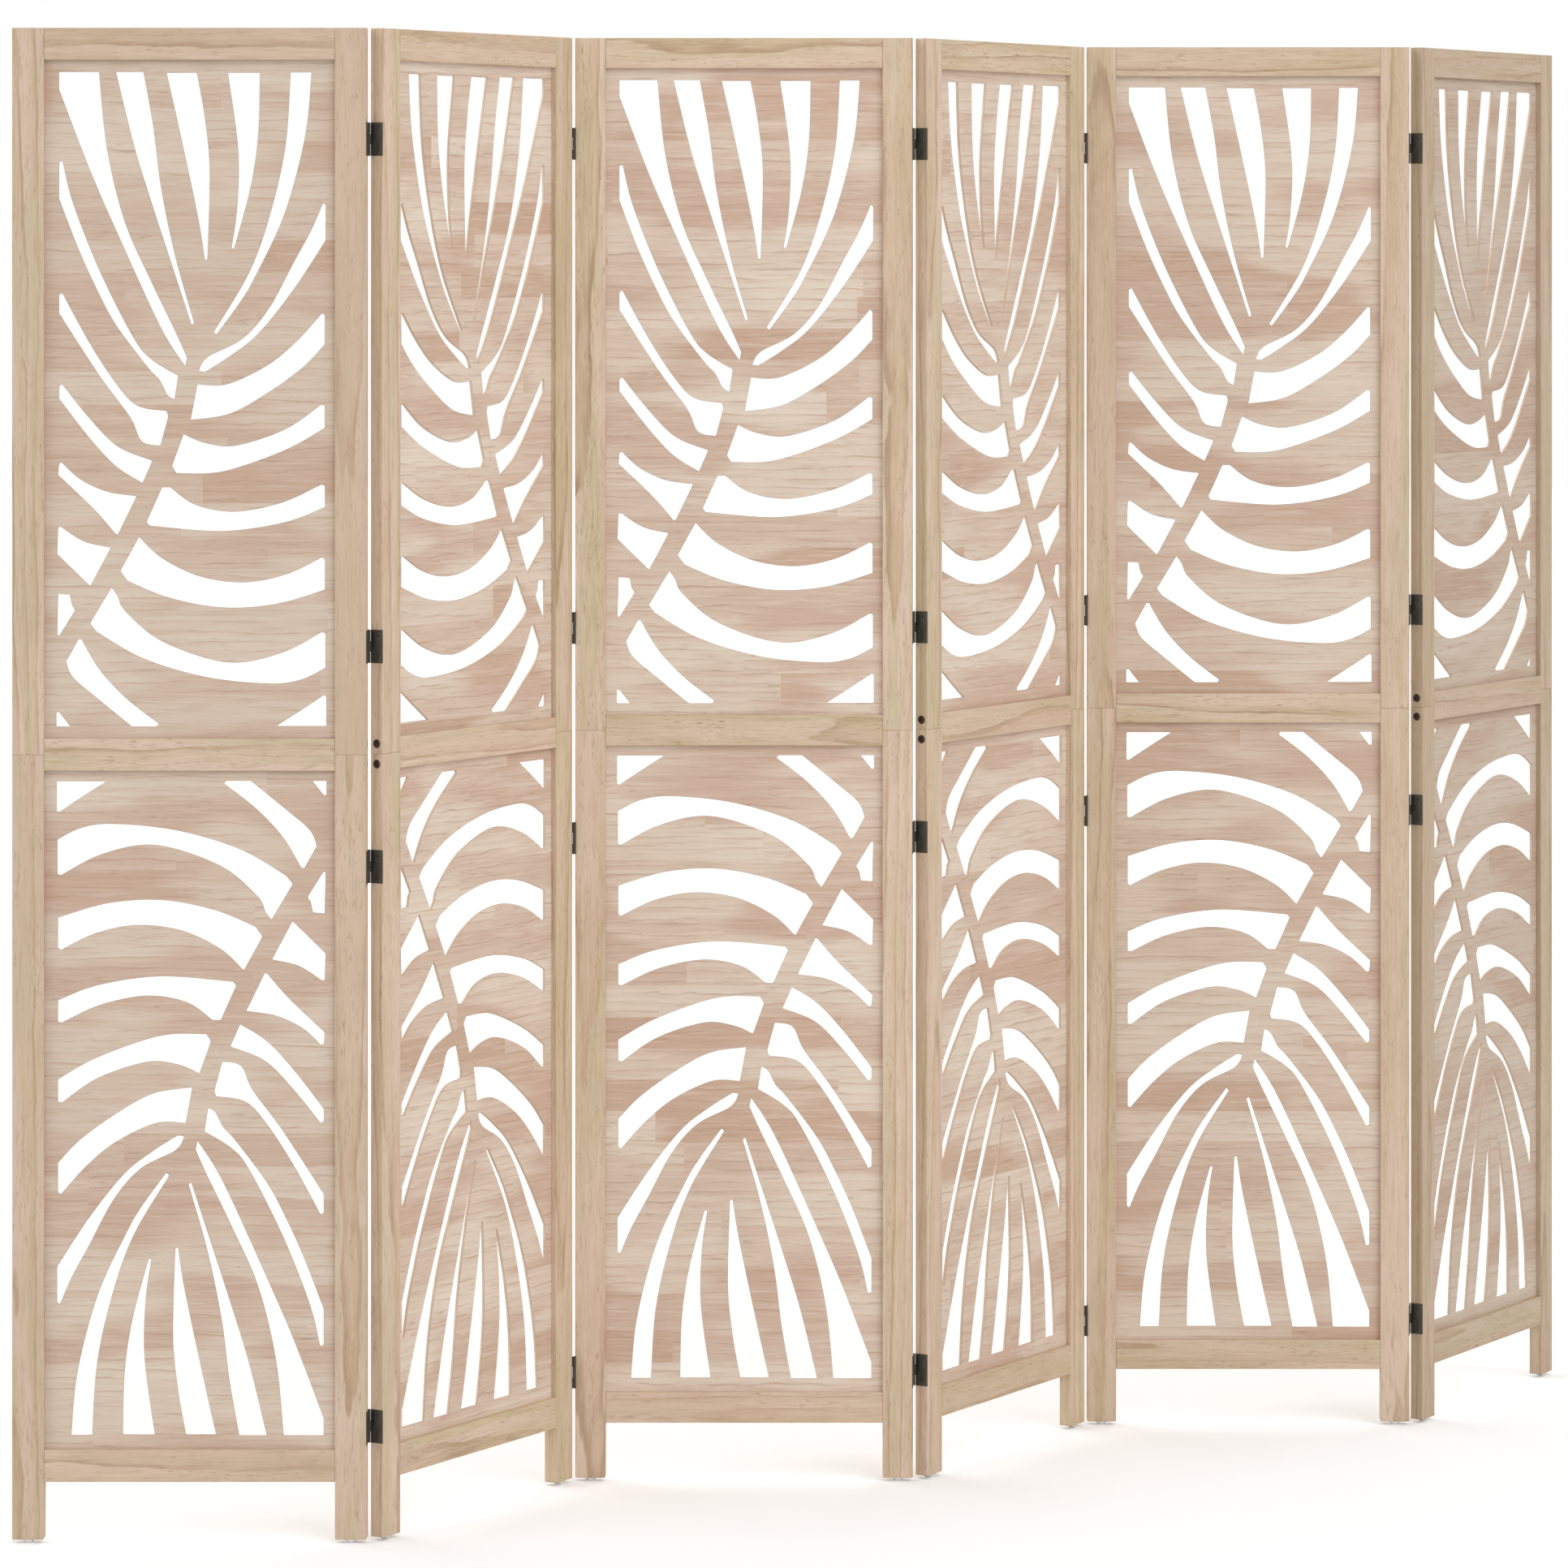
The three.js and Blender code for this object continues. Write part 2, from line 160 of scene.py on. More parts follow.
class Shader:
    """A new material and short ways to add nodes to it."""

    def __init__(self, name):
        self.material = bpy.data.materials.new(name)
        self.material.use_nodes = True
        self.tree = self.material.node_tree
        self.surface = self.tree.nodes["Principled BSDF"]

    def add(self, kind, inputs=(), **settings):
        made = self.tree.nodes.new("ShaderNode" + kind)
        for name, value in settings.items():
            setattr(made, name, value)
        for name, value in dict(inputs).items():
            self.put(made.inputs[name], value)
        return made

    def put(self, socket, value):
        if isinstance(value, bpy.types.NodeSocket):
            self.tree.links.new(value, socket)
        else:
            socket.default_value = value

    def attribute(self, name):
        return self.add("Attribute", attribute_name=name).outputs["Vector"]

    def noise(self, at, stretch, detail=2.0, rough=0.5, bend=0.0):
        scaled = self.add("Mapping", {"Vector": at, "Scale": stretch}).outputs[0]
        return self.add("TexNoise", {"Vector": scaled, "Scale": 1.0, "Detail": detail,
                                     "Roughness": rough, "Distortion": bend}).outputs[0]

    def math(self, kind, a, b=0.5, c=0.5):
        return self.add("Math", {0: a, 1: b, 2: c}, operation=kind).outputs[0]

    def between(self, value, low, high, to_low=0.0, to_high=1.0):
        """value from low..high, spread softly over to_low..to_high."""
        return self.add("MapRange", {"Value": value, "From Min": low, "From Max": high,
                                     "To Min": to_low, "To Max": to_high},
                        interpolation_type="SMOOTHSTEP").outputs[0]

    def mix(self, share, a, b):
        """Colour a with a share of colour b."""
        return self.add("Mix", {0: share, 6: a, 7: b}, data_type="RGBA").outputs[2]

    def split(self, vector):
        return self.add("SeparateXYZ", {0: vector}).outputs

    def bump(self, height, strength, distance):
        self.put(self.surface.inputs["Normal"], self.add(
            "Bump", {"Height": height, "Strength": strength, "Distance": distance * MM}).outputs[0])

    def finish(self, **looks):
        """Sets the surface's inputs by short names, and gives the material."""
        names = {"colour": "Base Color", "rough": "Roughness", "shine": "Specular IOR Level",
                 "metal": "Metallic", "milk": "Subsurface Weight", "depth": "Subsurface Radius"}
        for look, value in looks.items():
            self.put(self.surface.inputs[names[look]], value)
        return self.material


print("an editor's 128 as light:", round(srgb(128, 128, 128)[0], 3))

# %% [markdown]
# ## The frame's wood
#
# The frames are a pale, light wood, planed and left bare. Its colour wanders between a greenish
# and a rosy beige, with growth rings as long flames, soft fibres and short dark pores.
# A picture of wood would repeat on every leaf. Here each piece carries its own place in an
# endless plank instead, as a point attribute, so the grain follows the piece and none is alike.
# A second attribute points from the tree's heart, and its length is the growth ring's radius.

# %% Frame wood
FRAME_RINGS = 85                       # growth rings in a metre of the tree's radius


def frame_wood():
    s = Shader("frame_wood")
    plank, heart = s.attribute("plank"), s.attribute("heart")
    depth_of_tone, rosiness, leaf_darkness = s.split(s.attribute("piece"))
    cast = s.between(s.noise(plank, (3, 45, 45), 2), 0.38, 0.62)
    colour = s.mix(cast, srgb(204, 188, 157), srgb(220, 197, 177))

    # growth rings: each deepens slowly, ends in a thin dark line and starts again pale
    radius = s.add("VectorMath", {0: heart}, operation="LENGTH").outputs["Value"]
    wobble = s.math("MULTIPLY", s.noise(plank, (2.2, 16, 16), 1), 1.5)
    wobble = s.math("MULTIPLY_ADD", s.noise(plank, (13, 60, 60), 2), 0.45, wobble)
    ring = s.math("FRACT", s.math("MULTIPLY_ADD", radius, FRAME_RINGS, wobble))
    late = s.math("MULTIPLY", s.between(ring, 0.2, 0.95), s.between(ring, 1.0, 0.96))
    colour = s.mix(s.math("MULTIPLY", late, 0.45), colour, srgb(194, 165, 132))
    line = s.math("MULTIPLY", s.between(ring, 0.78, 0.93), s.between(ring, 1.0, 0.95))
    faint = s.between(s.noise(plank, (5, 60, 60), 2), 0.36, 0.62, 0.1, 0.66)
    colour = s.mix(s.math("MULTIPLY", line, faint), colour, srgb(150, 121, 88))

    # fine fibres, cloudy patches, and short pores that come in groups
    fibre = s.noise(plank, (24, 330, 330), 4, 0.65)
    colour = s.mix(s.between(fibre, 0.5, 0.68, 0, 0.34), colour, srgb(168, 141, 108))
    colour = s.mix(s.between(fibre, 0.5, 0.32, 0, 0.34), colour, srgb(226, 211, 190))
    cloud = s.noise(plank, (9, 20, 20), 2)
    colour = s.mix(s.between(cloud, 0.42, 0.66, 0, 0.2), colour, srgb(182, 158, 124))
    pores = s.between(s.noise(plank, (80, 700, 700), 2, 0.6), 0.57, 0.67)
    pores = s.math("MULTIPLY", pores, s.between(s.noise(plank, (20, 90, 90), 1), 0.42, 0.6))
    colour = s.mix(s.math("MULTIPLY", pores, 0.6), colour, srgb(142, 114, 84))

    # every piece comes from another board: lighter or darker, greener or rosier; then each whole
    # leaf is darkened by its listed share of a dull brown
    colour = s.mix(s.math("MULTIPLY", depth_of_tone, 0.2), colour, srgb(182, 156, 126))
    colour = s.mix(s.math("MULTIPLY", rosiness, 0.3), colour, srgb(214, 184, 164))
    colour = s.mix(leaf_darkness, colour, srgb(150, 130, 108))
    s.bump(s.math("SUBTRACT", s.math("MULTIPLY", fibre, 0.5), pores), 0.3, 0.3)
    return s.finish(colour=colour, rough=s.between(fibre, 0.3, 0.7, 0.58, 0.72), shine=0.3)


FRAME_WOOD = frame_wood()
print("material:", FRAME_WOOD.name)

# %% [markdown]
# ## End grain
#
# Sawn ends drink up light: they are duller and browner than planed faces, and show the growth
# layers as short bows. It is its own small material, laid on the end faces only.

# %% End grain
LAYERS_PER_METRE = 240


def end_grain():
    s = Shader("end_grain")
    plank = s.attribute("plank")
    speckle = s.noise(plank, (500, 900, 900), 2, 0.6)
    bow = s.math("MULTIPLY", s.noise(plank, (60, 60, 60), 1), 3.0)
    place = s.math("MULTIPLY_ADD", s.split(plank)[1], LAYERS_PER_METRE, bow)
    layer = s.math("PINGPONG", place, 0.5)
    colour = s.mix(layer, srgb(193, 166, 134), srgb(169, 139, 106))
    colour = s.mix(s.between(speckle, 0.5, 0.75, 0, 0.5), colour, srgb(140, 110, 82))
    s.bump(speckle, 0.3, 0.3)
    return s.finish(colour=colour, rough=0.8)


END_GRAIN = end_grain()
print("material:", END_GRAIN.name)

# %% [markdown]
# ## The boards' wood
#
# The boards are rosier than the frames, and their grain lies across the leaf. They are glued up
# from strips, and each strip from shorter lengths, so the tone and the grain step a little at
# every joint. Soft rosy and pale blotches run on over the joints, under broken ring lines and short
# dark dashes where the grain dips out of the face.

# %% Board wood
STRIPS_PER_METRE, LENGTHS_PER_METRE = 27, 2.6
BOARD_RINGS = 82                       # growth rings in a metre across the board
OWN_GRAIN = (9, 9, 9)                  # how far the grain of two lengths can be apart


def board_wood():
    s = Shader("board_wood")
    plank = s.attribute("plank")
    depth_of_tone, _, leaf_darkness = s.split(s.attribute("piece"))
    along, across, _ = s.split(plank)

    strip = s.math("FLOOR", s.math("MULTIPLY", across, STRIPS_PER_METRE))
    stagger = s.add("TexWhiteNoise", {"W": strip}, noise_dimensions="1D").outputs["Value"]
    length = s.math("FLOOR", s.math("MULTIPLY_ADD", along, LENGTHS_PER_METRE, stagger))
    joint = s.add("CombineXYZ", {0: strip, 1: length}).outputs[0]
    chance = s.add("TexWhiteNoise", {"Vector": joint}, noise_dimensions="2D").outputs["Color"]
    chances = s.split(chance)
    colour = s.mix(chances[0], srgb(223, 208, 191), srgb(207, 184, 166))
    colour = s.mix(s.between(chances[1], 0.5, 0.95, 0, 0.8), colour, srgb(195, 163, 140))

    # soft blotches run on over the joints, rosy ones and pale ones
    rosy = s.noise(plank, (2.6, 11, 11), 2)
    colour = s.mix(s.between(rosy, 0.46, 0.6, 0, 0.72), colour, srgb(201, 171, 152))
    pale = s.noise(plank, (3.6, 13, 13), 2)
    colour = s.mix(s.between(pale, 0.48, 0.6, 0, 0.7), colour, srgb(225, 211, 194))

    # growth rings, each length of a strip with its own
    own = s.add("VectorMath", {0: chance, 1: OWN_GRAIN, 2: plank},
                operation="MULTIPLY_ADD").outputs[0]
    sway = s.math("MULTIPLY", s.noise(own, (2.6, 16, 16), 2), 1.6)
    sway = s.math("MULTIPLY_ADD", s.noise(own, (24, 60, 60), 1), 0.6, sway)
    ring = s.math("FRACT", s.math("MULTIPLY_ADD", s.split(own)[1], BOARD_RINGS, sway))
    late = s.math("MULTIPLY", s.between(ring, 0.2, 0.95), s.between(ring, 1.0, 0.95))
    colour = s.mix(s.math("MULTIPLY", late, 0.16), colour, srgb(203, 168, 147))
    broken = s.between(s.noise(own, (13, 70, 70), 2, 0.6), 0.42, 0.62, 0.0, 0.52)
    line = s.math("MULTIPLY", s.between(ring, 0.82, 0.93), s.between(ring, 1.0, 0.96))
    line = s.math("MULTIPLY", line, broken)
    colour = s.mix(line, colour, srgb(170, 137, 115))

    # fine fibres, and short dashes that come in groups
    fibre = s.noise(own, (14, 260, 260), 4, 0.62, 0.2)
    colour = s.mix(s.between(fibre, 0.5, 0.68, 0, 0.3), colour, srgb(184, 155, 132))
    colour = s.mix(s.between(fibre, 0.5, 0.32, 0, 0.3), colour, srgb(231, 219, 204))
    dashes = s.between(s.noise(own, (36, 360, 360), 2, 0.6, 0.5), 0.6, 0.68)
    dashes = s.math("MULTIPLY", dashes, s.between(s.noise(plank, (10, 40, 40), 1), 0.45, 0.6))
    colour = s.mix(s.math("MULTIPLY", dashes, 0.36), colour, srgb(160, 130, 108))
    # each piece's own depth of tone, then each whole leaf darkened by its listed share of a dull
    # brown
    colour = s.mix(s.math("MULTIPLY", depth_of_tone, 0.12), colour, srgb(196, 172, 150))
    colour = s.mix(leaf_darkness, colour, srgb(150, 130, 112))
    hollows = s.math("ADD", dashes, line)
    s.bump(s.math("SUBTRACT", s.math("MULTIPLY", fibre, 0.3), hollows), 0.25, 0.25)
    return s.finish(colour=colour, rough=s.between(fibre, 0.3, 0.7, 0.62, 0.76), shine=0.25)


BOARD_WOOD = board_wood()
print("material:", BOARD_WOOD.name)

# %% [markdown]
# ## The sawn edge of the cut-outs
#
# The walls of a cut-out are near the face in tone, with fine marks down them. Their broken corners
# get a dull grey-brown as painted shade, which draws a thin outline round each opening. Both are
# the same small material in other tones.

# %% Sawn edge
def sawn_edge(name, light, dark, mark):
    s = Shader(name)
    plank = s.attribute("plank")
    marks = s.noise(plank, (700, 700, 60), 2, 0.5)
    tone = s.noise(plank, (25, 25, 25), 2)
    colour = s.mix(s.between(tone, 0.35, 0.65), light, dark)
    colour = s.mix(s.between(marks, 0.45, 0.7, 0, 0.4), colour, mark)
    s.bump(marks, 0.3, 0.15)
    return s.finish(colour=colour, rough=0.8)


SAWN_EDGE = sawn_edge("sawn_edge", srgb(222, 200, 178), srgb(212, 188, 165), srgb(190, 163, 138))
# the broken corners: painted shade in a dull grey-brown, a thin outline round each opening
PAINTED_CORNER_SHADE = sawn_edge("burnished_corner",
                             srgb(146, 128, 112), srgb(130, 113, 98), srgb(112, 96, 82))
print("materials:", SAWN_EDGE.name, PAINTED_CORNER_SHADE.name)

# %% [markdown]
# ## Dark bronzed steel, and plastic
#
# The hinges, screws and bolts are steel with a dark bronze finish, thin enough for the corners to
# wear lighter. The glides are milky white plastic, which light sinks into a little.

# %% Metal and plastic
def bronzed_steel(name, dark, light, rough):
    s = Shader(name)
    at = s.add("TexCoord").outputs["Object"]
    cloud = s.noise(at, (160, 160, 60), 3, 0.6)
    colour = s.mix(s.between(cloud, 0.35, 0.7), dark, light)
    worn = s.between(s.add("NewGeometry").outputs["Pointiness"], 0.53, 0.62, 0, 0.3)
    colour = s.mix(worn, colour, srgb(112, 102, 86))
    s.bump(s.noise(at, (900, 900, 900), 2), 0.12, 0.05)
    return s.finish(colour=colour, metal=0.4, rough=s.between(cloud, 0.3, 0.7, rough, rough + 0.15))


def milky_plastic():
    s = Shader("milky_plastic")
    haze = s.noise(s.add("TexCoord").outputs["Object"], (90, 90, 90), 2)
    colour = s.mix(haze, srgb(253, 253, 251), srgb(244, 244, 241))
    s.bump(haze, 0.1, 0.1)
    return s.finish(colour=colour, rough=s.between(haze, 0.3, 0.7, 0.3, 0.45),
                    milk=0.6, depth=(0.004, 0.004, 0.004))


HINGE_STEEL = bronzed_steel("hinge_steel", srgb(47, 45, 39), srgb(66, 63, 56), 0.45)
BOLT_STEEL = bronzed_steel("bolt_steel", srgb(48, 38, 32), srgb(84, 68, 54), 0.4)
MILKY_PLASTIC = milky_plastic()
print("materials:", len(bpy.data.materials))

# %% [markdown]
# ## Making blocks and cutting them
#
# A frame member is a planed block: its long edges are eased with a touch of sandpaper, and the
# ends of the legs are rounded more. One Bevel modifier does all of it, because each edge carries
# its own bevel weight. Grooves and pockets are then cut with Boolean modifiers, and the result is
# kept as a plain mesh.

# %% Blocks and cuts
LARGEST_ROUNDING = 2.5                 # mm, a bevel weight of 1
OVERCUT = 1                            # mm, how far a cutting tool sticks out


def new_object(name, data):
    made = bpy.data.objects.new(name, data)
    bpy.context.scene.collection.objects.link(made)
    return made


def object_from(bm, name):
    """Turns a BMesh into an object, and frees it."""
    mesh = bpy.data.meshes.new(name)
    bm.to_mesh(mesh)
    bm.free()
    return new_object(name, mesh)


def settled(piece):
    """Keeps the piece as its modifiers show it."""
    graph = bpy.context.evaluated_depsgraph_get()
    shown = bpy.data.meshes.new_from_object(piece.evaluated_get(graph))
    piece.modifiers.clear()
    old, piece.data = piece.data, shown
    bpy.data.meshes.remove(old)
    shown.name = piece.name
    return piece


def block(name, limits, rounding=None):
    """A block between limits in mm. rounding(axis, side) is the radius of an edge along an axis."""
    bm = bmesh.new()
    bmesh.ops.create_cube(bm, size=1)
    weight = bm.edges.layers.float.new("bevel_weight_edge")
    for edge in bm.edges:
        middle = (edge.verts[0].co + edge.verts[1].co) * 0.5
        side = [round(2 * c) for c in middle]
        edge[weight] = rounding(side.index(0), side) / LARGEST_ROUNDING if rounding else 0
    for vert in bm.verts:
        vert.co = Vector([(low + high) / 2 + c * (high - low)
                          for c, (low, high) in zip(vert.co, limits)]) * MM
    made = object_from(bm, name)
    if rounding:
        bevel = made.modifiers.new("eased_edges", "BEVEL")
        bevel.limit_method, bevel.segments = "WEIGHT", 3
        bevel.width = LARGEST_ROUNDING * MM
        settled(made)
    return made


def cut(piece, tools, how="DIFFERENCE"):
    """Cuts the tools away from the piece, or with how="UNION" joins them to it."""
    for tool in tools:
        step = piece.modifiers.new("cut", "BOOLEAN")
        step.operation, step.solver, step.object = how, "EXACT", tool
    settled(piece)
    for tool in tools:
        bpy.data.objects.remove(tool)
    return piece


def prism(name, sides, radius, length, place):
    """A prism round the middle of place, along its Z. With many sides it is a cylinder."""
    bm = bmesh.new()
    bmesh.ops.create_cone(bm, cap_ends=True, segments=sides, radius1=radius * MM,
                          radius2=radius * MM, depth=length * MM, matrix=place)
    return object_from(bm, name)


print("the largest rounding, mm:", LARGEST_ROUNDING)

# %% [markdown]
# ## Laying the grain
#
# `lay_grain` writes three attributes on a piece: each point's place in the plank (along the
# grain, across it, and into the wood), its way from the tree's heart, and for the whole piece its
# depth of tone, its rosiness and its leaf's darkness. The draws are seeded by the piece's name,
# so every run gives the same wood. `set_in_leaf` then puts a piece where its leaf stands.

# %% Lay the grain
LEAF_DARKNESS = {1: 0.22, 2: 0.0, 3: 0.0, 4: 0.02, 5: 0.06, 6: 0.38}   # share of a dull brown
PLANK_LENGTH = 40                      # metres of wood that the pieces are taken from
HEART_ASIDE, HEART_DEPTH, HEART_SLANT = 0.025, (0.02, 0.08), (0.004, 0.024)
UPRIGHT, CROSSWISE = "zxy", "xzy"      # the leaf's axes along, across and into the grain


def lay_grain(piece, order, leaf):
    """order is UPRIGHT or CROSSWISE."""
    chance = random.Random(piece.name)
    points = np.empty(len(piece.data.vertices) * 3, np.float32)
    piece.data.vertices.foreach_get("co", points)
    plank = points.reshape(-1, 3)[:, ["xyz".index(axis) for axis in order]].astype(float)
    along, across, into = (plank - (plank.min(axis=0) + plank.max(axis=0)) / 2).T

    # the heart runs beside the piece, at a slant that turns the rings into flames
    aside = chance.uniform(-HEART_ASIDE, HEART_ASIDE)
    depth = chance.uniform(*HEART_DEPTH)
    slant = chance.uniform(*HEART_SLANT) * chance.choice((-1, 1))
    heart = np.stack([0 * along, across - aside, into + depth + slant * along], axis=1)
    tones = [chance.random(), chance.random(), LEAF_DARKNESS[leaf]]
    plank += [chance.uniform(0, PLANK_LENGTH) for _ in order]
    tones = np.tile(tones, (len(plank), 1))
    for name, values in (("plank", plank), ("heart", heart), ("piece", tones)):
        layer = piece.data.attributes.new(name, "FLOAT_VECTOR", "POINT")
        layer.data.foreach_set("vector", values.astype(np.float32).ravel())


def set_in_leaf(piece, leaf, stands_for=None, place=Matrix()):
    """Puts the piece in its leaf, lets it move with it, and hides the model's part that it stands
    for.
    """
    piece.matrix_world = leaf_matrix[leaf] @ place
    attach(piece, f"panel_{leaf}")
    if stands_for:
        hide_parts(stands_for)
    return piece


print("darkest leaf:", max(LEAF_DARKNESS, key=LEAF_DARKNESS.get))

# %% [markdown]
# ## Rails
#
# Three rails cross each frame. Their ends have a tongue that sits in the stiles' grooves, and the
# edges that meet a board are grooved along their whole length. They are made one at a time, so
# each has its own grain.

# %% Rails
EASED, CRISP = 0.7, 0.4                # roundings of a long edge
TONGUE, TONGUE_INSET = GROOVE_DEPTH - FIT, 0.4
GROOVE_Y = (BOARD_Y[0] - FIT, BOARD_Y[1] + FIT)


def finish_stick(stick, order, leaf, stands_for):
    """Gives a stick its wood, with end grain on its ends, and sets it in its leaf."""
    stick.data.materials.append(FRAME_WOOD)
    stick.data.materials.append(END_GRAIN)
    end_axis = "xyz".index(order[0])
    for face in stick.data.polygons:
        face.material_index = int(abs(face.normal[end_axis]) > 0.9)
    lay_grain(stick, order, leaf)
    return set_in_leaf(stick, leaf, stands_for)


def make_rail(leaf, place):
    low, high = RAIL_Z[place], RAIL_Z[place] + RAIL_HEIGHT
    shoulder, tip = STILE_WIDTH + FIT, STILE_WIDTH - TONGUE
    limits = [(shoulder, LEAF_WIDTH - shoulder), (0, THICKNESS), (low, high)]
    rail = block(f"rail_{place}_{leaf}", limits, lambda axis, side: EASED if axis == 0 else CRISP)
    tongue_z = (low + TONGUE_INSET, high - TONGUE_INSET)
    cut(rail, [block("tongue", [(tip, LEAF_WIDTH - tip), BOARD_Y, tongue_z])], "UNION")
    grooves = []
    if place != "bottom":
        grooves.append((low - OVERCUT, low + GROOVE_DEPTH))
    if place != "top":
        grooves.append((high - GROOVE_DEPTH, high + OVERCUT))
    cut(rail, [block("groove", [(0, LEAF_WIDTH), GROOVE_Y, z]) for z in grooves])
    return finish_stick(rail, CROSSWISE, leaf, f"panel_{leaf}_rail_{place}")


rails = [make_rail(leaf, place) for leaf in range(1, LEAVES + 1) for place in RAIL_Z]
print("rails:", len(rails), " faces in one:", len(rails[0].data.polygons))

# %% [markdown]
# ## Stiles
#
# The uprights are in two lengths that meet at a seam half-way up the middle rail. Each has a
# groove for the boards, pockets for its hinges, and near the seam a round recess for a bolt. The
# foot of a leg is rounded so that it doesn't splinter, and the seam stays crisp.

# %% Stiles
HINGE_HEIGHT, PLATE, PROUD = 37.5, 1.2, 0.2
HINGE_FROM_END, HINGE_UNDER_SEAM, HINGE_OVER_SEAM = 125, 127, 121
HINGE_Z = [HINGE_FROM_END, SEAM_Z - HINGE_UNDER_SEAM,
           SEAM_Z + HINGE_OVER_SEAM, LEAF_HEIGHT - HINGE_FROM_END]
POCKET_DEEPER, POCKET_TALLER = 0.05, 0.15   # than the plate, at the bottom and at each end
BOLT_FROM_SEAM, BOLT_RADIUS, BOLT_SUNK = 11.5, 5, 1.2
BOLT_Z = {"upper": SEAM_Z + BOLT_FROM_SEAM, "lower": SEAM_Z - BOLT_FROM_SEAM}
FOOT_ROUNDING, SEAM_ROUNDING = 2.2, 0.3


def edge_of(edge):
    """The X of a leaf's outer edge, and which way it looks."""
    return (LEAF_WIDTH, 1) if edge == "right" else (0, -1)


def hinged(leaf, edge):
    return leaf < LEAVES if edge == "right" else leaf > 1


def stile_tools(leaf, edge, half, z):
    """What cuts the groove, the bolt's recess and the hinges' pockets."""
    edge_x, out = edge_of(edge)

    def span(*inwards):
        return sorted(edge_x - out * x for x in inwards)

    groove_z = (SEAM_Z - OVERCUT, LEAF_HEIGHT + OVERCUT)
    if half == "lower":
        groove_z = (RAIL_Z["bottom"] - FIT, SEAM_Z + OVERCUT)
    groove_x = span(STILE_WIDTH - GROOVE_DEPTH, STILE_WIDTH + OVERCUT)
    tools = [block("groove", [groove_x, GROOVE_Y, groove_z])]
    middle = shift(edge_x - out * (BOLT_SUNK - OVERCUT) / 2, MID_Y, BOLT_Z[half])
    tools.append(prism("recess", 48, BOLT_RADIUS, BOLT_SUNK + OVERCUT, middle @ turn(90, "Y")))
    room = HINGE_HEIGHT / 2 + POCKET_TALLER
    pocket = [span(PLATE - PROUD + POCKET_DEEPER, -OVERCUT), (-OVERCUT, THICKNESS + OVERCUT)]
    for centre in HINGE_Z if hinged(leaf, edge) else ():
        if z[0] < centre < z[1]:
            tools.append(block("pocket", [*pocket, (centre - room, centre + room)]))
    return tools


def make_stile(leaf, edge, half):
    edge_x, out = edge_of(edge)
    x = sorted((edge_x, edge_x - out * STILE_WIDTH))
    z = (SEAM_Z + FIT / 2, LEAF_HEIGHT) if half == "upper" else (0, SEAM_Z - FIT / 2)

    def rounding(axis, side):
        if axis == 2:
            return EASED if side[0] == out else CRISP
        at_seam = side[2] == (-1 if half == "upper" else 1)
        if at_seam:
            return SEAM_ROUNDING
        return FOOT_ROUNDING if half == "lower" and axis == 1 else EASED

    stile = block(f"stile_{edge}_{half}_{leaf}", [x, (0, THICKNESS), z], rounding)
    cut(stile, stile_tools(leaf, edge, half, z))
    return finish_stick(stile, UPRIGHT, leaf, f"panel_{leaf}_stile_{edge}_{half}")


stiles = [make_stile(leaf, edge, half) for leaf in range(1, LEAVES + 1)
          for edge in ("left", "right") for half in ("upper", "lower")]
print("stiles:", len(stiles), " faces in one:", len(stiles[0].data.polygons))
